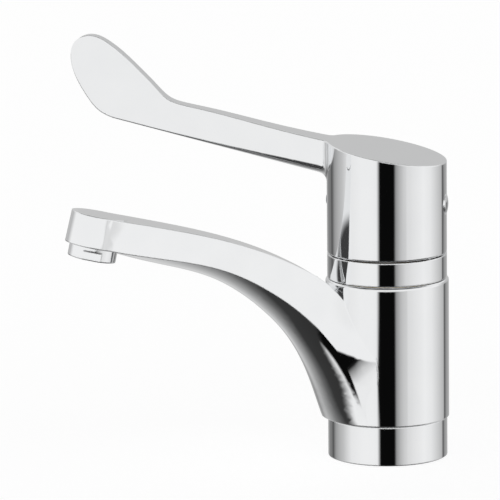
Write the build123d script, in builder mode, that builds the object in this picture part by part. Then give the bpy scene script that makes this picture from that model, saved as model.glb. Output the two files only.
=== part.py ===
"""Elbow lever tap: a single-lever washbasin mixer with a long paddle lever and a swivel spout.

Millimetres. The origin is the centre of the base's underside, on the deck. +Z is up.
The spout points along -Y at rest. The lever is drawn as it stands closed, turned to -X of the spout.
"""
from build123d import *
from math import asin, cos, radians, sin, sqrt, tan
import os

os.makedirs("parts", exist_ok=True)

# Column, from the deck upwards
base_radius = 30.0
base_height = 19.9
base_wall = 3.0
base_web = 2.9
swivel_gap = 0.25
sleeve_stand = 0.9
sleeve_wall = 3.4
sleeve_height = 70.6
sleeve_top_round = 1.5
sleeve_foot_round = 0.8
ring_height = 12.1
ring_flange = 1.6
ring_wall = 2.8
ring_lip = 0.4
ring_bevel_height = 4.6
edge_round = 0.4
cut_overrun = 2.0

sleeve_radius = base_radius + sleeve_stand
sleeve_bore_radius = sleeve_radius - sleeve_wall
base_top = base_height
sleeve_bottom = base_top + swivel_gap
sleeve_top = sleeve_bottom + sleeve_height
ring_bottom = sleeve_top + swivel_gap
ring_top = ring_bottom + ring_height

# Brass body inside the column
land_clearance = 0.3
land_radius = sleeve_bore_radius - land_clearance
land_height = 16.0
foot_clearance = 0.1
gasket_width = 2.6
waist_depth = 5.2
neck_radius = 20.8
neck_height = 22.0
cartridge_bore_radius = 17.7
cartridge_depth = 7.0
nut_thread_radius = 18.6
nut_thread_depth = 8.0
gasket_height = 3.0
foot_radius = base_radius - base_wall - gasket_width
waist_radius = land_radius - waist_depth
neck_top = ring_bottom + neck_height
cartridge_floor = ring_bottom - cartridge_depth

# Water ways and fixing in the brass body
inlet_spacing = 19.0
inlet_thread_radius = 4.5
inlet_thread_depth = 12.0
inlet_way_radius = 3.2
outlet_way_radius = 4.0
outlet_cross_depth = 24.0
stud_thread_radius = 3.4
stud_thread_depth = 14.0
stud_offset = 11.0
outlet_cross_height = cartridge_floor - outlet_cross_depth

# Swivel bearings, seals and stop
running_clearance = 0.05
slip_ring_height = 2.6
slip_ring_depth = 1.6
lower_slip_stand = 5.5
upper_slip_drop = 4.4
seal_section_radius = 1.45
lower_seal_stand = 11.7
upper_seal_drop = 11.6
stop_pin_radius = 1.5
stop_pin_length = 7.0
stop_pin_proud = 0.9
stop_pin_stand = 2.4
stop_groove_depth = 1.4
stop_groove_height = 4.2
swivel_limit = 60.0
swivel_spare = 0.8
lower_slip_height = base_top + lower_slip_stand
upper_slip_height = ring_bottom - upper_slip_drop
lower_seal_height = base_top + lower_seal_stand
upper_seal_height = ring_bottom - upper_seal_drop
stop_pin_height = base_top + stop_pin_stand

# Cartridge, ceramic discs and spindle
cartridge_radius = 17.5
cartridge_base_height = 4.0
disc_height = 3.5
moving_disc_height = 3.0
carrier_height = 5.5
carrier_floor = 1.1
cartridge_height = 21.5
cartridge_wall = 2.3
cartridge_roof = 2.0
cartridge_neck_radius = 12.3
cartridge_neck_bore = 10.7
cartridge_neck_height = 12.5
fixed_disc_radius = 14.0
moving_disc_radius = 11.5
carrier_radius = 11.8
disc_hole_radius = 2.8
mixing_pocket_radius = 7.5
mixing_pocket_depth = 1.6
face_seal_wall = 1.5
face_seal_height = 1.3
peg_radius = 1.6
peg_length = 2.5
peg_offset_x = 6.5
peg_offset_y = 11.3
rotor_gap = 0.3
rotor_radius = 14.8
rotor_flange_height = 3.0
rotor_neck_above_pivot = 3.5
rotor_neck_radius = 10.5
rotor_slot_length = 14.0
spindle_clearance = 0.2
pivot_above_floor = 32.0
pivot_pin_radius = 2.0
spindle_square = 8.2
spindle_square_below = 5.0
spindle_square_above = 21.0
spindle_stem_radius = 2.6
spindle_ball_radius = 3.0
spindle_arm = 17.2
lift_range = 20.0
pivot_height = cartridge_floor + pivot_above_floor

# Cartridge nut
nut_roof_gap = 0.1
nut_hex_radius = 20.6
nut_hex_height = 4.0
nut_bore_radius = 12.9

# Lever: hub, arm and paddle
lever_turn_at_rest = 28.5
hub_wall = 2.5
hub_roof = 5.0
hub_gap = 0.25
hub_height = 51.65
hub_slope = 10.2
hub_foot_round = 1.2
lever_reach = 160.0
lever_height = 107.3
arm_root_half_width = 9.0
arm_mid_half_width = 4.0
paddle_half_width = 2.9
arm_mid_share = 0.66
arm_root_round = 6.5
arm_mid_round = 1.0
arm_root_fillet = 5.0
boss_radius = 8.6
boss_above_pivot = 7.5
hub_radius = base_radius
hub_bottom = ring_top + hub_gap

# Lever fixing screw, cap and index button
screw_above_pivot = 12.5
screw_radius = 3.0
screw_length = 5.6
screw_socket_radius = 1.7
screw_tip_radius = 1.5
screw_access_radius = 4.0
cap_radius = 5.0
cap_seat_depth = 0.7
cap_head = 1.2
cap_dome = 0.9
cap_spigot = 3.0
button_radius = 2.5
button_stand = 26.15
button_proud = 0.5
button_depth = 2.0
screw_height = pivot_height + screw_above_pivot
button_height = hub_bottom + button_stand

# Spout arm and outlet
spout_reach = 152.7
spout_arm_rise = 42.05
outlet_drop = 15.9
spout_half_width = 14.5
spout_tip_depth = 15.7
spout_tip_taper = 1.6
arm_section_count = 14
spout_slope = 12.1
nose_step = 1.5
nose_width = 3.5
nose_height = 3.6
nose_bulge_share = 0.18
channel_radius = 6.0
spout_arm_height = sleeve_top + spout_arm_rise
outlet_height = spout_arm_height - outlet_drop
nose_inner_radius = base_radius + nose_step
nose_outer_radius = nose_inner_radius + nose_width

# Aerator in the spout outlet
outlet_radius = 11.4
outlet_depth = 6.5
outlet_chamber_radius = 9.2
outlet_chamber_depth = 11.5
aerator_radius = 12.0
aerator_visible = 6.6
aerator_thread_radius = 11.3
aerator_thread_length = 5.0
aerator_wall = 1.6
aerator_lip = 1.2
aerator_flat_width = 22.0
aerator_flat_height = 4.6
aerator_flat_turn = 18.0
aerator_edge_round = 0.5
insert_clearance = 0.1
insert_height = 7.0
insert_hole = 1.7
insert_pitch = 2.5
insert_count = 5
washer_height = 1.5
washer_wall = 2.2

# Guide curves of the spout arm, one point of each at every place in ARM_PLACE_shares but the last, the tip.
# Along: 0 is the column's axis, 1 the sleeve's wall and 2 the outlet's centre.
# Up: 0 is the sleeve's foot, 1 its rim and 2 the arm's highest edge. Half widths are shares of sleeve_radius.
ARM_PLACE_shares = [0, 0.065, 0.145, 0.224, 0.276, 0.327, 0.467, 0.636, 0.813, 1]
TOP_EDGE_shares = [
    (0.485, -0.215, 0.864),
    (0.485, 0.000, 0.867),
    (0.487, 0.267, 0.868),
    (0.515, 0.536, 0.850),
    (0.696, 0.734, 0.641),
    (0.874, 0.876, 0.460),
    (1.116, 1.177, 0.388),
    (1.373, 1.524, 0.350),
    (1.674, 1.781, 0.375),
]
CREASE_shares = [
    (0.537, -0.220, 0.828),
    (0.605, -0.018, 0.793),
    (0.723, 0.188, 0.715),
    (0.872, 0.366, 0.667),
    (1.010, 0.515, 0.602),
    (1.058, 0.634, 0.537),
    (1.215, 0.890, 0.511),
    (1.447, 1.218, 0.485),
    (1.707, 1.432, 0.469),
]
KEEL_shares = [
    (0.925, -0.229),
    (1.012, -0.030),
    (1.034, 0.062),
    (1.062, 0.210),
    (1.091, 0.338),
    (1.128, 0.477),
    (1.264, 0.788),
    (1.477, 1.101),
    (1.715, 1.343),
]
WATER_WAY_shares = [
    (0.791, 0.542),
    (1.115, 0.833),
    (1.269, 1.077),
    (1.428, 1.317),
    (1.585, 1.479),
    (1.799, 1.643),
    (1.950, 1.747),
]

# Side view of the lever beyond the hub, as shares of lever_reach and of lever_height above the hub's foot
ARM_TOP_shares = [(0.406, 0.600), (0.560, 0.6535), (0.640, 0.6775), (0.688, 0.701)]
PADDLE_TOP_shares = [(0.735, 0.765), (0.787, 0.843), (0.824, 0.896), (0.879, 0.961), (0.943, 0.995)]
PADDLE_END_shares = [(0.990, 0.957), (1.000, 0.890), (0.988, 0.811), (0.950, 0.708), (0.908, 0.637), (0.850, 0.598)]
ARM_BOTTOM_shares = [(0.221, 0.379), (1.000, 0.654)]


def side_plane(heading):
    """Vertical plane through the column's axis: its x runs along heading, its y runs up."""
    return Plane(origin=(0, 0, 0), x_dir=heading, z_dir=heading.cross(Vector(0, 0, 1)))


def level_plane(heading, height):
    """Level plane whose x runs along heading."""
    return Plane(origin=(0, 0, height), x_dir=heading, z_dir=(0, 0, 1))


def finish(builder, name):
    """Label a finished piece and write it."""
    builder.part.label = name
    export_step(builder.part, f"parts/{name}.step")


spout_heading = Vector(0, -1, 0)
lever_heading = Vector(-sin(radians(lever_turn_at_rest)), -cos(radians(lever_turn_at_rest)), 0)
lever_side = side_plane(lever_heading)

# Base ring: a cup round the brass foot, clamped between the body's shoulder and the deck
with BuildPart() as base_ring:
    with BuildSketch():
        Circle(base_radius)
    extrude(amount=base_height)
    with BuildSketch():
        Circle(base_radius - base_wall)
    extrude(amount=base_height - base_web, mode=Mode.SUBTRACT)
    with BuildSketch():
        Circle(foot_radius + foot_clearance)
    extrude(amount=base_height, mode=Mode.SUBTRACT)
    rims = base_ring.edges().filter_by(GeomType.CIRCLE).group_by(SortBy.RADIUS)[-1]
    fillet(rims, edge_round)
finish(base_ring, "base_ring")

# Rubber gasket under the base ring
with BuildPart() as foot_gasket:
    with BuildSketch():
        Circle(base_radius - base_wall)
        Circle(foot_radius, mode=Mode.SUBTRACT)
    extrude(amount=gasket_height)
finish(foot_gasket, "foot_gasket")

# Brass body: foot, two lands for the swivel sleeve, a waist between them for the mixed water, and a neck
lower_land_top = base_top + land_height
upper_land_bottom = ring_bottom - land_height
slip_groove_radius = sleeve_bore_radius - running_clearance - slip_ring_depth
seal_centre_radius = sleeve_bore_radius - running_clearance - seal_section_radius
seal_groove_radius = seal_centre_radius - seal_section_radius
with BuildPart() as inner_body:
    with BuildSketch(side_plane(spout_heading)):
        with BuildLine():
            Polyline(
                (0, 0),
                (foot_radius, 0),
                (foot_radius, base_top),
                (land_radius, base_top),
                (land_radius, lower_land_top),
                (waist_radius, lower_land_top),
                (waist_radius, upper_land_bottom),
                (land_radius, upper_land_bottom),
                (land_radius, ring_bottom),
                (neck_radius, ring_bottom),
                (neck_radius, neck_top),
                (0, neck_top),
                close=True,
            )
        make_face()
    revolve(axis=Axis.Z)
    for height in (lower_slip_height, upper_slip_height):
        with BuildSketch(Plane.XY.offset(height)):
            Circle(land_radius + cut_overrun)
            Circle(slip_groove_radius, mode=Mode.SUBTRACT)
        extrude(amount=slip_ring_height / 2, both=True, mode=Mode.SUBTRACT)
    for height in (lower_seal_height, upper_seal_height):
        with BuildSketch(Plane.XY.offset(height)):
            Circle(land_radius + cut_overrun)
            Circle(seal_groove_radius, mode=Mode.SUBTRACT)
        extrude(amount=seal_section_radius + running_clearance, both=True, mode=Mode.SUBTRACT)
    with BuildSketch(Plane.XY.offset(cartridge_floor)):
        Circle(cartridge_bore_radius)
    extrude(amount=neck_top - cartridge_floor, mode=Mode.SUBTRACT)
    with BuildSketch(Plane.XY.offset(neck_top - nut_thread_depth)):
        Circle(nut_thread_radius)
    extrude(amount=nut_thread_depth, mode=Mode.SUBTRACT)
    with BuildSketch():
        with GridLocations(inlet_spacing, 0, 2, 1):
            Circle(inlet_thread_radius)
    extrude(amount=inlet_thread_depth, mode=Mode.SUBTRACT)
    with BuildSketch():
        with GridLocations(inlet_spacing, 0, 2, 1):
            Circle(inlet_way_radius)
    extrude(amount=cartridge_floor, mode=Mode.SUBTRACT)
    with BuildSketch():
        with Locations((0, stud_offset)):
            Circle(stud_thread_radius)
    extrude(amount=stud_thread_depth, mode=Mode.SUBTRACT)
    with BuildSketch(Plane.XY.offset(outlet_cross_height)):
        with Locations((0, -inlet_spacing / 2)):
            Circle(outlet_way_radius)
    extrude(amount=cartridge_floor - outlet_cross_height, mode=Mode.SUBTRACT)
    with BuildSketch(Plane(origin=(0, -inlet_spacing / 2, outlet_cross_height), z_dir=(0, -1, 0))):
        Circle(outlet_way_radius)
    extrude(amount=waist_radius, mode=Mode.SUBTRACT)
    with BuildSketch(Plane.XY.offset(cartridge_floor)):
        with Locations((peg_offset_x, peg_offset_y), (-peg_offset_x, peg_offset_y)):
            Circle(peg_radius + running_clearance)
    extrude(amount=-(peg_length + swivel_gap), mode=Mode.SUBTRACT)
    with BuildSketch(Plane(origin=(0, land_radius, stop_pin_height), z_dir=(0, -1, 0))):
        Circle(stop_pin_radius)
    extrude(amount=stop_pin_length - stop_pin_proud, mode=Mode.SUBTRACT)
finish(inner_body, "inner_body")

# Plastic slip rings that carry the sleeve, and the two rubber seals between them
for name, height in (("lower_slip_ring", lower_slip_height), ("upper_slip_ring", upper_slip_height)):
    with BuildPart() as slip_ring:
        with BuildSketch(Plane.XY.offset(height)):
            Circle(slip_groove_radius + slip_ring_depth)
            Circle(slip_groove_radius, mode=Mode.SUBTRACT)
        extrude(amount=slip_ring_height / 2, both=True)
    finish(slip_ring, name)

for name, height in (("lower_seal", lower_seal_height), ("upper_seal", upper_seal_height)):
    with BuildPart() as seal:
        with BuildSketch(side_plane(spout_heading)):
            with Locations((seal_centre_radius, height)):
                Circle(seal_section_radius)
        revolve(axis=Axis.Z)
    finish(seal, name)

# Stop pin pressed into the lower land, opposite the spout
with BuildPart() as swivel_stop_pin:
    pin_end = land_radius + stop_pin_proud
    with BuildSketch(Plane(origin=(0, pin_end, stop_pin_height), z_dir=(0, -1, 0))):
        Circle(stop_pin_radius)
    extrude(amount=stop_pin_length)
finish(swivel_stop_pin, "swivel_stop_pin")

# Cover ring above the sleeve: hollow, with a bevelled lip that lets the lever's rear rim dip inside
with BuildPart() as cover_ring:
    with BuildSketch(side_plane(spout_heading)):
        with BuildLine():
            Polyline(
                (neck_radius + foot_clearance, ring_bottom),
                (base_radius, ring_bottom),
                (base_radius, ring_top),
                (base_radius - ring_lip, ring_top),
                (base_radius - ring_wall, ring_top - ring_bevel_height),
                (base_radius - ring_wall, ring_bottom + ring_flange),
                (neck_radius + foot_clearance, ring_bottom + ring_flange),
                close=True,
            )
        make_face()
    revolve(axis=Axis.Z)
    rims = cover_ring.edges().filter_by(GeomType.CIRCLE).group_by(Axis.Z)[0].sort_by(SortBy.RADIUS)[-1]
    fillet(rims, edge_round)
finish(cover_ring, "cover_ring")

# Cartridge base with its two inlets, its outlet and its locating pegs
way_places = [(-inlet_spacing / 2, 0), (inlet_spacing / 2, 0), (0, -inlet_spacing / 2)]
with BuildPart() as cartridge_base:
    with BuildSketch(Plane.XY.offset(cartridge_floor)):
        Circle(cartridge_radius)
    extrude(amount=cartridge_base_height)
    with BuildSketch(Plane.XY.offset(cartridge_floor)):
        with Locations(*way_places):
            Circle(inlet_way_radius)
    extrude(amount=cartridge_base_height, mode=Mode.SUBTRACT)
    with BuildSketch(Plane.XY.offset(cartridge_floor)):
        with Locations(*way_places):
            Circle(inlet_way_radius + face_seal_wall)
    extrude(amount=face_seal_height, mode=Mode.SUBTRACT)
    with BuildSketch(Plane.XY.offset(cartridge_floor)):
        with Locations((peg_offset_x, peg_offset_y), (-peg_offset_x, peg_offset_y)):
            Circle(peg_radius)
    extrude(amount=-peg_length)
finish(cartridge_base, "cartridge_base")

with BuildPart() as cartridge_seals:
    with BuildSketch(Plane.XY.offset(cartridge_floor)):
        with Locations(*way_places):
            Circle(inlet_way_radius + face_seal_wall)
        with Locations(*way_places):
            Circle(inlet_way_radius, mode=Mode.SUBTRACT)
    extrude(amount=face_seal_height)
finish(cartridge_seals, "cartridge_seals")

# Ceramic discs
fixed_disc_bottom = cartridge_floor + cartridge_base_height
moving_disc_bottom = fixed_disc_bottom + disc_height
carrier_bottom = moving_disc_bottom + moving_disc_height
carrier_top = carrier_bottom + carrier_height
with BuildPart() as fixed_disc:
    with BuildSketch(Plane.XY.offset(fixed_disc_bottom)):
        Circle(fixed_disc_radius)
        with Locations(*way_places):
            Circle(disc_hole_radius, mode=Mode.SUBTRACT)
    extrude(amount=disc_height)
finish(fixed_disc, "fixed_disc")

disc_start = -spindle_arm * sin(radians(lift_range / 2))
with BuildPart() as moving_disc:
    with BuildSketch(level_plane(lever_heading, moving_disc_bottom)):
        with Locations((disc_start, 0)):
            Circle(moving_disc_radius)
    extrude(amount=moving_disc_height)
    with BuildSketch(level_plane(lever_heading, moving_disc_bottom)):
        with Locations((disc_start, 0)):
            Circle(mixing_pocket_radius)
    extrude(amount=mixing_pocket_depth, mode=Mode.SUBTRACT)
finish(moving_disc, "moving_disc")

with BuildPart() as disc_carrier:
    with BuildSketch(level_plane(lever_heading, carrier_bottom)):
        with Locations((disc_start, 0)):
            Circle(carrier_radius)
    extrude(amount=carrier_height)
    with BuildSketch(level_plane(lever_heading, carrier_top)):
        with Locations((disc_start, 0)):
            Circle(spindle_ball_radius + 2 * running_clearance)
    extrude(amount=-(carrier_height - carrier_floor), mode=Mode.SUBTRACT)
finish(disc_carrier, "disc_carrier")

# Cartridge housing
housing_top = fixed_disc_bottom + cartridge_height - cartridge_base_height
with BuildPart() as cartridge_housing:
    with BuildSketch(Plane.XY.offset(fixed_disc_bottom)):
        Circle(cartridge_radius)
    extrude(amount=housing_top - fixed_disc_bottom)
    with BuildSketch(Plane.XY.offset(housing_top)):
        Circle(cartridge_neck_radius)
    extrude(amount=cartridge_neck_height)
    with BuildSketch(Plane.XY.offset(fixed_disc_bottom)):
        Circle(cartridge_radius - cartridge_wall)
    extrude(amount=housing_top - cartridge_roof - fixed_disc_bottom, mode=Mode.SUBTRACT)
    with BuildSketch(Plane.XY.offset(fixed_disc_bottom)):
        Circle(cartridge_neck_bore)
    extrude(amount=neck_top, mode=Mode.SUBTRACT)
finish(cartridge_housing, "cartridge_housing")

# Rotor: turns in the housing, slotted for the spindle and bored for the pivot pin
rotor_bottom = carrier_top + rotor_gap
rotor_neck_top = pivot_height + rotor_neck_above_pivot
spindle_plane = Plane(
    origin=(0, 0, pivot_height),
    x_dir=lever_heading.cross(Vector(0, 0, 1)),
    z_dir=lever_heading * sin(radians(lift_range / 2)) + Vector(0, 0, cos(radians(lift_range / 2))),
)
pin_plane = Plane(origin=(0, 0, pivot_height), x_dir=(0, 0, 1), z_dir=lever_heading.cross(Vector(0, 0, 1)))
with BuildPart() as cartridge_rotor:
    with BuildSketch(level_plane(lever_heading, rotor_bottom)):
        Circle(rotor_radius)
    extrude(amount=rotor_flange_height)
    with BuildSketch(level_plane(lever_heading, rotor_bottom)):
        Circle(rotor_neck_radius)
    extrude(amount=rotor_neck_top - rotor_bottom)
    with BuildSketch(level_plane(lever_heading, rotor_bottom)):
        Rectangle(rotor_slot_length, spindle_square + 2 * spindle_clearance)
    extrude(amount=rotor_neck_top - rotor_bottom, mode=Mode.SUBTRACT)
    with BuildSketch(pin_plane):
        Circle(pivot_pin_radius)
    extrude(amount=rotor_radius, both=True, mode=Mode.SUBTRACT)
finish(cartridge_rotor, "cartridge_rotor")

with BuildPart() as pivot_pin:
    with BuildSketch(pin_plane):
        Circle(pivot_pin_radius)
    extrude(amount=rotor_neck_radius - spindle_clearance, both=True)
finish(pivot_pin, "pivot_pin")

# Spindle: square above for the lever, ball below for the disc carrier
with BuildPart() as spindle:
    with BuildSketch(spindle_plane.offset(-spindle_square_below)):
        Rectangle(spindle_square, spindle_square)
    extrude(amount=spindle_square_below + spindle_square_above)
    with BuildSketch(spindle_plane.offset(-spindle_arm)):
        Circle(spindle_stem_radius)
    extrude(amount=spindle_arm)
    with Locations(spindle_plane.offset(-spindle_arm)):
        Sphere(spindle_ball_radius)
    with BuildSketch(pin_plane):
        Circle(pivot_pin_radius + running_clearance)
    extrude(amount=spindle_square, both=True, mode=Mode.SUBTRACT)
finish(spindle, "spindle")

# Cartridge nut: threaded collar in the neck with a hexagon above
nut_bottom = housing_top + nut_roof_gap
with BuildPart() as cartridge_nut:
    with BuildSketch(Plane.XY.offset(nut_bottom)):
        Circle(nut_thread_radius)
    extrude(amount=neck_top - nut_bottom)
    with BuildSketch(Plane.XY.offset(neck_top)):
        RegularPolygon(nut_hex_radius, 6)
    extrude(amount=nut_hex_height)
    with BuildSketch(Plane.XY.offset(nut_bottom)):
        Circle(nut_bore_radius)
    extrude(amount=neck_top, mode=Mode.SUBTRACT)
finish(cartridge_nut, "cartridge_nut")

# Lever: hollow hub, arm and elbow paddle in one casting
hub_top = hub_bottom + hub_height
slope = tan(radians(hub_slope))


def lever_point(share):
    """Point of the lever's side view from its shares."""
    return (lever_reach * share[0], hub_bottom + lever_height * share[1])


arm_start, arm_finish = [lever_point(share) for share in ARM_BOTTOM_shares]
arm_fall = (arm_finish[1] - arm_start[1]) / (arm_finish[0] - arm_start[0])


def arm_bottom(along):
    """Height of the arm's straight underside at a distance from the axis."""
    return arm_start[1] + arm_fall * (along - arm_start[0])


screw_plane = Plane(origin=(0, 0, screw_height), x_dir=(0, 0, 1), z_dir=lever_heading * -1)
screw_start = spindle_square / 2 / cos(radians(lift_range / 2)) - (screw_height - pivot_height) * tan(
    radians(lift_range / 2)
) + spindle_clearance + 2 * running_clearance
cap_seat = sqrt(hub_radius**2 - cap_radius**2) - cap_seat_depth
button_seat = hub_radius - button_depth
button_plane = Plane(origin=lever_heading * button_seat + Vector(0, 0, button_height), z_dir=lever_heading)
tall = hub_bottom + lever_height + cut_overrun
arm_stations = [
    (hub_radius / 2, arm_root_half_width, arm_root_round),
    (lever_reach * arm_mid_share, arm_mid_half_width, arm_mid_round),
    (lever_reach + hub_radius, paddle_half_width, arm_mid_round),
]
across = lever_heading.cross(Vector(0, 0, 1))
hub_front_top = hub_top + hub_radius * slope
with BuildPart() as lever:
    for along, half_width, corner in arm_stations:
        floor = arm_bottom(along)
        with BuildSketch(Plane(origin=lever_heading * along, x_dir=across, z_dir=lever_heading * -1)):
            with BuildLine():
                Polyline(
                    (half_width, floor + corner),
                    (half_width, tall),
                    (-half_width, tall),
                    (-half_width, floor + corner),
                )
                RadiusArc((-half_width, floor + corner), (-half_width + corner, floor), -corner)
                Line((-half_width + corner, floor), (half_width - corner, floor))
                RadiusArc((half_width - corner, floor), (half_width, floor + corner), -corner)
            make_face()
    loft(ruled=False)
    with BuildSketch(Plane.XY.offset(hub_bottom)):
        Circle(hub_radius)
    extrude(amount=tall - hub_bottom)
    wall = lever.faces().filter_by(GeomType.CYLINDER).sort_by(Face.area)[-1]
    root = wall.edges().filter_by(lambda edge: edge.geom_type != GeomType.CIRCLE)
    root = root.filter_by(lambda edge: edge.center().dot(lever_heading) > hub_radius / 2)
    fillet(root, arm_root_fillet)
    with BuildSketch(lever_side.offset(-hub_radius - cut_overrun)):
        with BuildLine():
            arm_top = Spline(
                (hub_radius, hub_front_top),
                *[lever_point(share) for share in ARM_TOP_shares + PADDLE_TOP_shares + PADDLE_END_shares],
                tangents=[(1, slope), (-1, -slope - arm_fall)],
            )
            Polyline(
                arm_top @ 1,
                (lever_point(PADDLE_END_shares[-1])[0], hub_bottom - cut_overrun),
                (2 * lever_reach, hub_bottom - cut_overrun),
                (2 * lever_reach, 2 * tall),
                (-hub_radius - cut_overrun, 2 * tall),
                (-hub_radius - cut_overrun, hub_top - (hub_radius + cut_overrun) * slope),
                arm_top @ 0,
            )
        make_face()
    extrude(amount=2 * (hub_radius + cut_overrun), mode=Mode.SUBTRACT)
    foot_rim = lever.edges().filter_by(GeomType.CIRCLE).sort_by(Axis.Z)[0]
    fillet(foot_rim, hub_foot_round)
    with BuildSketch(lever_side.offset(-hub_radius - cut_overrun)) as roof:
        with BuildLine():
            inner = hub_radius - hub_wall
            Polyline(
                (-inner, hub_bottom),
                (inner, hub_bottom),
                (inner, hub_top - hub_roof + inner * slope),
                (-inner, hub_top - hub_roof - inner * slope),
                close=True,
            )
        make_face()
    cavity = extrude(amount=2 * (hub_radius + cut_overrun), mode=Mode.PRIVATE)
    bore = Pos(0, 0, hub_bottom) * Cylinder(
        inner, 2 * hub_height, align=(Align.CENTER, Align.CENTER, Align.MIN), mode=Mode.PRIVATE
    )
    add(cavity & bore, mode=Mode.SUBTRACT)
    with BuildSketch(spindle_plane.offset(boss_above_pivot)):
        Circle(boss_radius)
    extrude(until=Until.NEXT, mode=Mode.ADD)
    with BuildSketch(spindle_plane.offset(boss_above_pivot)):
        Rectangle(spindle_square + 2 * running_clearance, spindle_square + 2 * running_clearance)
    extrude(amount=spindle_square_above - boss_above_pivot + spindle_clearance, mode=Mode.SUBTRACT)
    with BuildSketch(screw_plane):
        Circle(screw_radius)
    extrude(amount=hub_radius / 2, mode=Mode.SUBTRACT)
    with BuildSketch(screw_plane.offset(hub_radius / 2)):
        Circle(screw_access_radius)
    extrude(amount=hub_radius, mode=Mode.SUBTRACT)
    with BuildSketch(screw_plane.offset(cap_seat)):
        Circle(cap_radius + running_clearance)
    extrude(amount=hub_radius, mode=Mode.SUBTRACT)
    with BuildSketch(button_plane):
        Circle(button_radius + running_clearance)
    extrude(amount=hub_radius, mode=Mode.SUBTRACT)
finish(lever, "lever")

# Set screw that clamps the spindle in the lever's boss
with BuildPart() as grub_screw:
    with BuildSketch(screw_plane.offset(screw_start)):
        Circle(screw_radius - running_clearance)
    extrude(amount=screw_length)
    chamfer(grub_screw.faces().sort_by(lambda face: face.center().dot(lever_heading))[-1].edges(), screw_tip_radius)
    with BuildSketch(screw_plane.offset(screw_start + screw_length)):
        RegularPolygon(screw_socket_radius, 6)
    extrude(amount=-screw_length / 2, mode=Mode.SUBTRACT)
finish(grub_screw, "grub_screw")

# Domed cap over the screw's access hole
cap_end = cap_seat + cap_head
dome_radius = (cap_radius**2 + cap_dome**2) / (2 * cap_dome)
dome_angle = asin(cap_radius / dome_radius)
cap_centre = -cap_end - cap_dome + dome_radius
with BuildPart() as rear_cap:
    with BuildSketch(side_plane(lever_heading)):
        with BuildLine():
            Polyline(
                (-cap_seat + cap_spigot, screw_height),
                (-cap_seat + cap_spigot, screw_height + screw_access_radius - running_clearance),
                (-cap_seat, screw_height + screw_access_radius - running_clearance),
                (-cap_seat, screw_height + cap_radius),
                (-cap_end, screw_height + cap_radius),
            )
            ThreePointArc(
                (-cap_end, screw_height + cap_radius),
                (cap_centre - dome_radius * cos(dome_angle / 2), screw_height + dome_radius * sin(dome_angle / 2)),
                (-cap_end - cap_dome, screw_height),
            )
            Line((-cap_end - cap_dome, screw_height), (-cap_seat + cap_spigot, screw_height))
        make_face()
    revolve(axis=Axis((0, 0, screw_height), lever_heading))
finish(rear_cap, "rear_cap")

# Index button below the arm
with BuildPart() as index_button:
    with BuildSketch(button_plane):
        Circle(button_radius)
    extrude(amount=button_depth + button_proud)
    fillet(index_button.faces().sort_by(lambda face: face.center().dot(lever_heading))[-1].edges(), button_proud)
finish(index_button, "index_button")

# Spout: sleeve, lofted arm, tip and water way in one casting
tip_lean = radians(spout_slope)
outlet_down = Vector(0, -sin(tip_lean), -cos(tip_lean))
outlet_centre = Vector(0, -spout_reach, outlet_height)
outlet_plane = Plane(origin=outlet_centre, x_dir=(1, 0, 0), z_dir=outlet_down * -1)
tip_top = outlet_centre - outlet_down * spout_tip_depth
spout_side = side_plane(spout_heading)
nose_chord = sqrt((nose_outer_radius - nose_inner_radius) ** 2 + nose_height**2)
nose_bulge = nose_bulge_share * nose_chord
groove_angle = radians(swivel_limit + swivel_spare) + asin(stop_pin_radius / sleeve_bore_radius)
groove_reach = 2 * sleeve_radius


def spout_point(along, up, half_width=0):
    """Point of the spout arm from its shares."""
    reach = sleeve_radius * min(along, 1) + (spout_reach - sleeve_radius) * max(along - 1, 0)
    height = sleeve_bottom + sleeve_height * min(up, 1) + (spout_arm_height - sleeve_top) * max(up - 1, 0)
    return Vector(sleeve_radius * half_width, -reach, height)


def guide_curve(shares, tip_point):
    """Smooth curve through the points of a guide, ending at the tip."""
    points = [spout_point(*share) for share in shares]
    return Edge.make_spline([*points, tip_point], parameters=ARM_PLACE_shares)


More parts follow.
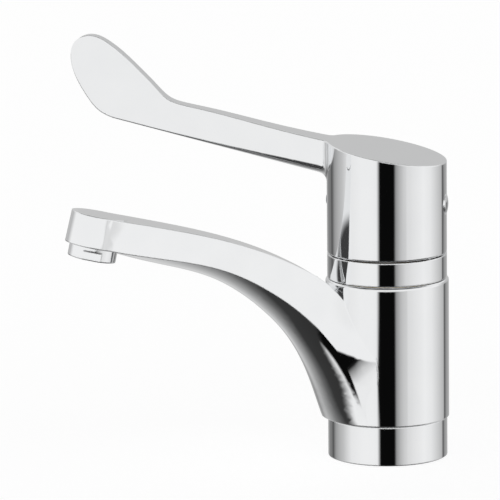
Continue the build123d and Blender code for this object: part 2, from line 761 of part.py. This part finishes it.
arm_end_half_width = spout_half_width - running_clearance
tip_top_half_width = arm_end_half_width - spout_tip_depth * tan(radians(spout_tip_taper))
tip_corner = outlet_centre - outlet_down * edge_round + Vector(arm_end_half_width, 0, 0)
top_edge = guide_curve(TOP_EDGE_shares, tip_top + Vector(tip_top_half_width, 0, 0))
crease = guide_curve(CREASE_shares, tip_corner)
keel = guide_curve(KEEL_shares, outlet_centre)
with BuildPart() as spout:
    for section in range(arm_section_count + 1):
        place = section / arm_section_count
        head = top_edge @ place
        corner = crease @ place
        foot = keel @ place
        middle = Vector(0, head.Y, head.Z)
        down = (foot - middle).normalized()
        depth = (foot - middle).length
        crease_depth = (corner - middle).dot(down)
        with BuildSketch(Plane(origin=middle, x_dir=(1, 0, 0), z_dir=Vector(1, 0, 0).cross(down))):
            with BuildLine():
                Polyline((-corner.X, crease_depth), (-head.X, 0), (head.X, 0), (corner.X, crease_depth))
                ThreePointArc((corner.X, crease_depth), (0, depth), (-corner.X, crease_depth))
            make_face()
    loft(ruled=False)
    with BuildSketch(outlet_plane):
        Circle(spout_half_width)
    extrude(amount=spout_tip_depth, taper=spout_tip_taper)
    with BuildSketch(Plane.XY.offset(sleeve_bottom - sleeve_height)):
        Rectangle(2 * spout_reach, 2 * spout_reach)
    extrude(amount=sleeve_height, mode=Mode.SUBTRACT)
    with BuildSketch(Plane.XY.offset(sleeve_bottom)):
        Circle(sleeve_radius)
    extrude(amount=sleeve_height)
    sleeve_rim = spout.edges().filter_by(GeomType.CIRCLE).filter_by_position(
        Axis.Z, sleeve_top - running_clearance, sleeve_top + running_clearance
    )
    fillet(sleeve_rim, sleeve_top_round)
    with BuildSketch(spout_side):
        with BuildLine():
            SagittaArc(
                (nose_inner_radius, sleeve_bottom), (nose_outer_radius, sleeve_bottom + nose_height), -nose_bulge
            )
            Polyline(
                (nose_outer_radius, sleeve_bottom + nose_height),
                (groove_reach, sleeve_bottom + nose_height),
                (groove_reach, sleeve_bottom - cut_overrun),
                (nose_inner_radius, sleeve_bottom - cut_overrun),
                (nose_inner_radius, sleeve_bottom),
            )
        make_face()
    revolve(axis=Axis.Z, mode=Mode.SUBTRACT)
    with BuildSketch(Plane.XY.offset(sleeve_bottom)):
        Circle(sleeve_bore_radius)
    extrude(amount=sleeve_height, mode=Mode.SUBTRACT)
    with BuildSketch(Plane.XY.offset(sleeve_bottom)):
        Polygon(
            (0, 0),
            (groove_reach * sin(groove_angle), groove_reach * cos(groove_angle)),
            (groove_reach * sin(groove_angle), groove_reach),
            (-groove_reach * sin(groove_angle), groove_reach),
            (-groove_reach * sin(groove_angle), groove_reach * cos(groove_angle)),
            align=None,
        )
        Circle(sleeve_bore_radius + stop_groove_depth, mode=Mode.INTERSECT)
    extrude(amount=stop_groove_height, mode=Mode.SUBTRACT)
    with BuildSketch(outlet_plane):
        Circle(aerator_radius + aerator_edge_round)
    extrude(amount=-2 * aerator_visible, mode=Mode.SUBTRACT)
    with BuildSketch(outlet_plane):
        Circle(outlet_radius)
    extrude(amount=outlet_depth, mode=Mode.SUBTRACT)
    with BuildSketch(outlet_plane):
        Circle(outlet_chamber_radius)
    extrude(amount=outlet_chamber_depth, mode=Mode.SUBTRACT)
    with BuildLine(spout_side) as water_way:
        Spline(*[(-spout_point(*share).Y, spout_point(*share).Z) for share in WATER_WAY_shares])
    with BuildSketch(Plane(origin=water_way.line @ 0, z_dir=water_way.line % 0)):
        Circle(channel_radius)
    sweep(path=water_way.line, mode=Mode.SUBTRACT)
finish(spout, "spout")

# Aerator housing screwed into the outlet, with two flats for a spanner
with BuildPart() as aerator_housing:
    with BuildSketch(outlet_plane.offset(-aerator_visible)):
        Circle(aerator_radius)
    extrude(amount=aerator_visible)
    fillet(aerator_housing.edges().group_by(Axis.Z)[0], aerator_edge_round)
    with BuildSketch(outlet_plane):
        Circle(aerator_thread_radius)
    extrude(amount=aerator_thread_length)
    with BuildSketch(outlet_plane.offset(-aerator_visible)):
        Circle(aerator_radius + cut_overrun)
        Rectangle(aerator_flat_width, 2 * spout_reach, rotation=-aerator_flat_turn, mode=Mode.SUBTRACT)
    extrude(amount=aerator_flat_height, mode=Mode.SUBTRACT)
    with BuildSketch(outlet_plane.offset(-aerator_visible)):
        Circle(aerator_thread_radius - aerator_wall - aerator_lip)
    extrude(amount=aerator_visible + aerator_thread_length, mode=Mode.SUBTRACT)
    with BuildSketch(outlet_plane.offset(-aerator_visible + aerator_lip)):
        Circle(aerator_thread_radius - aerator_wall)
    extrude(amount=aerator_visible + aerator_thread_length, mode=Mode.SUBTRACT)
finish(aerator_housing, "aerator_housing")

# Jet former: a plastic plug with a square grid of holes
with BuildPart() as aerator_insert:
    with BuildSketch(outlet_plane.offset(-aerator_visible + aerator_lip)):
        Circle(aerator_thread_radius - aerator_wall - insert_clearance)
        with GridLocations(insert_pitch, insert_pitch, insert_count, insert_count):
            Rectangle(insert_hole, insert_hole, mode=Mode.SUBTRACT)
    extrude(amount=insert_height)
finish(aerator_insert, "aerator_insert")

# Rubber washer between the aerator and the ledge in the outlet
with BuildPart() as aerator_washer:
    with BuildSketch(outlet_plane.offset(aerator_thread_length)):
        Circle(aerator_thread_radius)
        Circle(aerator_thread_radius - washer_wall, mode=Mode.SUBTRACT)
    extrude(amount=washer_height)
finish(aerator_washer, "aerator_washer")
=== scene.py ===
from math import cos, pi, radians, sin

import bpy
from mathutils import Matrix, Vector

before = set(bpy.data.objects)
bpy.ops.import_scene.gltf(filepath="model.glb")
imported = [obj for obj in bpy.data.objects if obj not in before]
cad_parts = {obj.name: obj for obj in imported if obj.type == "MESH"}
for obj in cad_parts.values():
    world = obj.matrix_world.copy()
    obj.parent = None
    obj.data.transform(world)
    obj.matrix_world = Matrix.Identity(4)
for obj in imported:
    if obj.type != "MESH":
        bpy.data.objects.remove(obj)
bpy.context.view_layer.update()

# Camera, measured against the photograph: metres, degrees and, for the sensor, millimetres
camera_azimuth = 71.0
camera_distance = 3.1003
camera_height = 0.7094
camera_pitch = 11.037
camera_yaw = 1.267
camera_roll = 0.493
camera_focal_pixels = 6311.0
camera_reach = 50.0
picture_size = 500
sensor_width = 36.0

# Studio round the tap, as the polish mirrors it.
# Walls at eye level: degrees to the right of the camera's azimuth, and the light there
wall_lights = [
    (-180.0, 0.60),
    (-165.0, 0.45),
    (-150.0, 0.23),
    (-138.0, 0.19),
    (-132.0, 0.08),
    (-126.0, 0.20),
    (-120.0, 0.33),
    (-108.0, 0.45),
    (-96.0, 0.55),
    (-84.0, 0.72),
    (-75.0, 0.84),
    (-50.0, 0.90),
    (-30.0, 0.90),
    (-20.0, 0.88),
    (-17.0, 0.45),
    (-14.0, 0.003),
    (13.5, 0.003),
    (17.0, 0.30),
    (24.0, 0.48),
    (36.0, 0.70),
    (50.0, 0.80),
    (75.0, 0.90),
    (92.0, 0.84),
    (108.0, 0.68),
    (130.0, 0.48),
    (134.0, 0.10),
    (138.0, 0.14),
    (142.0, 0.28),
    (165.0, 0.46),
    (180.0, 0.56),
]
# The same higher up, where the dark gap on the camera's side has ended
high_wall_lights = [
    (-180.0, 0.60),
    (-130.0, 0.50),
    (-105.0, 0.91),
    (105.0, 0.91),
    (130.0, 0.50),
    (180.0, 0.56),
]
# Ground: share of the way from far behind the tap to right before the camera, and the light there
ground_lights = [(0.0, 0.72), (0.12, 0.62), (0.3, 0.36), (0.5, 0.14), (0.65, 0.04), (1.0, 0.03)]
# Heights are the sine of the elevation at which one zone ends and the next begins
ground_end = -0.50
walls_start = -0.34
gap_end = -0.13
high_walls_start = -0.09
walls_end = 0.26
upper_start = 0.45
upper_end = 0.70
zenith_start = 0.80
upper_light = 0.86
zenith_light = 0.05

# Floor: metres across, and how much of its white is its own light
floor_size = 6.0
floor_sides = 96
floor_own_light = 0.78
floor_albedo = 0.42
floor_roughness = 0.9

# Finish of each node
finished_nodes = {
    "chrome": ["base_ring", "cover_ring", "lever", "spout", "aerator_housing", "rear_cap"],
    "brass": ["inner_body", "cartridge_nut", "spindle"],
    "rubber": ["foot_gasket", "lower_seal", "upper_seal", "cartridge_seals", "aerator_washer"],
    "slip_plastic": ["lower_slip_ring", "upper_slip_ring"],
    "steel": ["swivel_stop_pin", "pivot_pin", "grub_screw"],
    "ceramic": ["fixed_disc", "moving_disc"],
    "cartridge_plastic": ["cartridge_base", "cartridge_housing", "cartridge_rotor", "disc_carrier"],
    "jet_plastic": ["aerator_insert"],
    "index_plastic": ["index_button"],
}

# Chrome: a pale haze that also roughens it, and an orange peel and edge rounding in metres
chrome_dark = (0.90, 0.91, 0.92)
chrome_light = (0.95, 0.955, 0.96)
chrome_roughness = (0.015, 0.045)
haze_scale = 60.0
haze_detail = 5.0
peel_scale = 180.0
peel_detail = 2.0
peel_height = 0.0000015
chrome_rounding = 0.0009
# Machined metals: dark and light colour, lowest and highest roughness,
# and the tool marks' stretch, scale and height in metres
machined_finishes = {
    "brass": ((0.62, 0.44, 0.18), (0.80, 0.62, 0.30), (0.22, 0.38), (0.05, 0.05, 1.0), 900.0, 0.00001),
    "steel": ((0.42, 0.42, 0.43), (0.62, 0.62, 0.63), (0.20, 0.34), (1.0, 1.0, 0.08), 1200.0, 0.000008),
}
marks_detail = 2.0
# Rubber, plastic and ceramic: dark and light colour, lowest and highest roughness,
# and the grain's scale and height in metres
moulded_finishes = {
    "rubber": ((0.012, 0.012, 0.013), (0.03, 0.03, 0.032), (0.55, 0.75), 700.0, 0.00001),
    "slip_plastic": ((0.80, 0.79, 0.75), (0.86, 0.85, 0.82), (0.28, 0.40), 400.0, 0.000004),
    "ceramic": ((0.84, 0.83, 0.80), (0.90, 0.89, 0.87), (0.12, 0.20), 300.0, 0.000002),
    "cartridge_plastic": ((0.60, 0.60, 0.57), (0.68, 0.68, 0.66), (0.40, 0.55), 500.0, 0.000008),
    "jet_plastic": ((0.28, 0.29, 0.30), (0.36, 0.37, 0.38), (0.35, 0.50), 500.0, 0.000006),
    "index_plastic": ((0.26, 0.27, 0.29), (0.34, 0.35, 0.37), (0.18, 0.30), 300.0, 0.000003),
}
grain_detail = 4.0
moulded_rounding = 0.0002
rounding_samples = 6


def new_material(name):
    """A node material with its node tree and its main shader."""
    material = bpy.data.materials.new(name)
    material.use_nodes = True
    tree = material.node_tree
    shader = tree.nodes["Principled BSDF"]
    return material, tree, shader


def noise(tree, scale, detail, stretch=(1.0, 1.0, 1.0)):
    """Noise in the object's own coordinates."""
    place = tree.nodes.new("ShaderNodeTexCoord")
    mapping = tree.nodes.new("ShaderNodeMapping")
    mapping.inputs["Scale"].default_value = stretch
    texture = tree.nodes.new("ShaderNodeTexNoise")
    texture.inputs["Scale"].default_value = scale
    texture.inputs["Detail"].default_value = detail
    tree.links.new(place.outputs["Object"], mapping.inputs["Vector"])
    tree.links.new(mapping.outputs["Vector"], texture.inputs["Vector"])
    return texture.outputs["Fac"]


def colour_by(tree, shader, source, dark, light):
    """Base colour between dark and light that follows source."""
    ramp = tree.nodes.new("ShaderNodeValToRGB")
    ramp.color_ramp.elements[0].color = (*dark, 1.0)
    ramp.color_ramp.elements[1].color = (*light, 1.0)
    tree.links.new(source, ramp.inputs["Fac"])
    tree.links.new(ramp.outputs["Color"], shader.inputs["Base Color"])


def roughness_by(tree, shader, source, lowest, highest):
    """Roughness between lowest and highest that follows source."""
    remap = tree.nodes.new("ShaderNodeMapRange")
    remap.inputs["To Min"].default_value = lowest
    remap.inputs["To Max"].default_value = highest
    tree.links.new(source, remap.inputs["Value"])
    tree.links.new(remap.outputs["Result"], shader.inputs["Roughness"])


def bump(tree, shader, source, height, rounding=None):
    """Bump from source, over rounded edges where rounding is given."""
    node = tree.nodes.new("ShaderNodeBump")
    node.inputs["Strength"].default_value = 1.0
    node.inputs["Distance"].default_value = height
    tree.links.new(source, node.inputs["Height"])
    if rounding:
        edge = tree.nodes.new("ShaderNodeBevel")
        edge.samples = rounding_samples
        edge.inputs["Radius"].default_value = rounding
        tree.links.new(edge.outputs["Normal"], node.inputs["Normal"])
    tree.links.new(node.outputs["Normal"], shader.inputs["Normal"])


def polished(name):
    """Polished chrome plate: a faint orange peel, a light haze and slightly softened edges."""
    material, tree, shader = new_material(name)
    shader.inputs["Metallic"].default_value = 1.0
    haze = noise(tree, haze_scale, haze_detail)
    colour_by(tree, shader, haze, chrome_dark, chrome_light)
    roughness_by(tree, shader, haze, *chrome_roughness)
    peel = noise(tree, peel_scale, peel_detail)
    bump(tree, shader, peel, peel_height, rounding=chrome_rounding)
    return material


def machined(name, dark, light, roughness, stretch, scale, height):
    """A bare metal with fine tool marks."""
    material, tree, shader = new_material(name)
    shader.inputs["Metallic"].default_value = 1.0
    marks = noise(tree, scale, marks_detail, stretch)
    colour_by(tree, shader, marks, dark, light)
    roughness_by(tree, shader, marks, *roughness)
    bump(tree, shader, marks, height)
    return material


def moulded(name, dark, light, roughness, scale, height):
    """A plastic, rubber or ceramic with its own tone, grain and sheen."""
    material, tree, shader = new_material(name)
    grain = noise(tree, scale, grain_detail)
    colour_by(tree, shader, grain, dark, light)
    roughness_by(tree, shader, grain, *roughness)
    bump(tree, shader, grain, height, rounding=moulded_rounding)
    return material


def finish_nodes():
    """Make every finish and give it to the slots of its nodes."""
    materials = {"chrome": polished("chrome")}
    for name, finish in machined_finishes.items():
        materials[name] = machined(name, *finish)
    for name, finish in moulded_finishes.items():
        materials[name] = moulded(name, *finish)
    for name, nodes in finished_nodes.items():
        for node in nodes:
            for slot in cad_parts[node].material_slots:
                slot.material = materials[name]


def connect(tree, value, socket):
    """Link a socket's value, or set a number."""
    if hasattr(value, "is_linked"):
        tree.links.new(value, socket)
    else:
        socket.default_value = value


def calculate(tree, operation, *values):
    """A math node whose inputs are sockets or numbers."""
    node = tree.nodes.new("ShaderNodeMath")
    node.operation = operation
    for socket, value in zip(node.inputs, values):
        connect(tree, value, socket)
    return node.outputs["Value"]


def smooth_step(tree, value, low, high):
    """0 below low and 1 above high."""
    node = tree.nodes.new("ShaderNodeMapRange")
    node.interpolation_type = "SMOOTHSTEP"
    node.inputs["From Min"].default_value = low
    node.inputs["From Max"].default_value = high
    tree.links.new(value, node.inputs["Value"])
    return node.outputs["Result"]


def blend(tree, factor, low, high):
    """low where factor is 0 and high where it is 1."""
    node = tree.nodes.new("ShaderNodeMix")
    node.data_type = "FLOAT"
    tree.links.new(factor, node.inputs["Factor"])
    connect(tree, low, node.inputs["A"])
    connect(tree, high, node.inputs["B"])
    return node.outputs["Result"]


def light_ramp(tree, position, lights):
    """The light at a position along a list of places and lights."""
    ramp = tree.nodes.new("ShaderNodeValToRGB")
    ramp.color_ramp.interpolation = "LINEAR"
    while len(ramp.color_ramp.elements) < len(lights):
        ramp.color_ramp.elements.new(1.0)
    first = lights[0][0]
    length = lights[-1][0] - first
    for element, (place, light) in zip(ramp.color_ramp.elements, lights):
        element.position = (place - first) / length
        element.color = (light, light, light, 1.0)
    share = calculate(tree, "DIVIDE", calculate(tree, "SUBTRACT", position, first), length)
    tree.links.new(share, ramp.inputs["Fac"])
    return ramp.outputs["Color"]


def studio_world():
    """White to the camera, and for everything else a studio.

    The studio has soft white walls with a dark gap on the camera's side, a white
    upper part, a dark zenith and a ground that darkens towards the camera.
    """
    world = bpy.data.worlds.new("studio")
    bpy.context.scene.world = world
    world.use_nodes = True
    tree = world.node_tree
    background = tree.nodes["Background"]
    place = tree.nodes.new("ShaderNodeTexCoord")
    turn = tree.nodes.new("ShaderNodeMapping")
    turn.vector_type = "POINT"
    turn.inputs["Rotation"].default_value = (0.0, 0.0, radians(-camera_azimuth))
    tree.links.new(place.outputs["Generated"], turn.inputs["Vector"])
    parts = tree.nodes.new("ShaderNodeSeparateXYZ")
    tree.links.new(turn.outputs["Vector"], parts.inputs["Vector"])
    towards = calculate(tree, "MULTIPLY", parts.outputs["Y"], -1.0)
    up = parts.outputs["Z"]
    bearing = calculate(tree, "ARCTAN2", parts.outputs["X"], towards)
    angle = calculate(tree, "MULTIPLY", bearing, 180.0 / pi)
    low_walls = light_ramp(tree, angle, wall_lights)
    high_walls = light_ramp(tree, angle, high_wall_lights)
    above_gap = smooth_step(tree, up, gap_end, high_walls_start)
    walls = blend(tree, above_gap, low_walls, high_walls)
    nearness = calculate(tree, "MULTIPLY_ADD", towards, 0.5, 0.5)
    ground = light_ramp(tree, nearness, ground_lights)
    above_ground = smooth_step(tree, up, ground_end, walls_start)
    low = blend(tree, above_ground, ground, walls)
    above_walls = smooth_step(tree, up, walls_end, upper_start)
    high = blend(tree, above_walls, low, upper_light)
    at_zenith = smooth_step(tree, up, upper_end, zenith_start)
    all_round = blend(tree, at_zenith, high, zenith_light)
    path = tree.nodes.new("ShaderNodeLightPath")
    light = blend(tree, path.outputs["Is Camera Ray"], all_round, 1.0)
    tree.links.new(light, background.inputs["Strength"])
    background.inputs["Color"].default_value = (1.0, 1.0, 1.0, 1.0)


def pale_floor():
    """White floor that shines a little itself, so the tap's shadow on it is faint.

    The polish doesn't mirror it, but the studio's ground.
    """
    bpy.ops.mesh.primitive_circle_add(
        vertices=floor_sides,
        radius=floor_size / 2,
        fill_type="NGON",
        location=(0.0, 0.0, 0.0),
    )
    floor = bpy.context.object
    floor.name = "pale_floor"
    material, _, shader = new_material("pale_floor")
    shader.inputs["Base Color"].default_value = (floor_albedo, floor_albedo, floor_albedo, 1.0)
    shader.inputs["Roughness"].default_value = floor_roughness
    shader.inputs["Specular IOR Level"].default_value = 0.0
    shader.inputs["Emission Color"].default_value = (1.0, 1.0, 1.0, 1.0)
    shader.inputs["Emission Strength"].default_value = floor_own_light
    floor.data.materials.append(material)
    floor.visible_glossy = False


def photo_camera():
    """Camera at the photograph's place, from the fitted angles."""
    pitch = radians(camera_pitch)
    yaw = radians(camera_yaw)
    roll = radians(camera_roll)
    turn = Matrix.Rotation(radians(camera_azimuth), 3, "Z")
    right = Vector((cos(yaw), sin(yaw), 0.0))
    ahead = Vector((-sin(yaw), cos(yaw), 0.0))
    forward = ahead * cos(pitch) - Vector((0.0, 0.0, sin(pitch)))
    up = ahead * sin(pitch) + Vector((0.0, 0.0, cos(pitch)))
    image_right = turn @ (right * cos(roll) - up * sin(roll))
    image_up = turn @ (right * sin(roll) + up * cos(roll))
    image_back = turn @ -forward
    camera_data = bpy.data.cameras.new("photo_camera")
    camera_data.sensor_width = sensor_width
    camera_data.lens = sensor_width * camera_focal_pixels / picture_size
    camera_data.clip_end = camera_reach
    camera = bpy.data.objects.new("photo_camera", camera_data)
    bpy.context.scene.collection.objects.link(camera)
    axes = Matrix((image_right, image_up, image_back)).transposed()
    place = turn @ Vector((0.0, -camera_distance, camera_height))
    camera.matrix_world = Matrix.Translation(place) @ axes.to_4x4()
    bpy.context.scene.camera = camera


finish_nodes()
studio_world()
pale_floor()
photo_camera()
bpy.context.scene.view_settings.view_transform = "Standard"
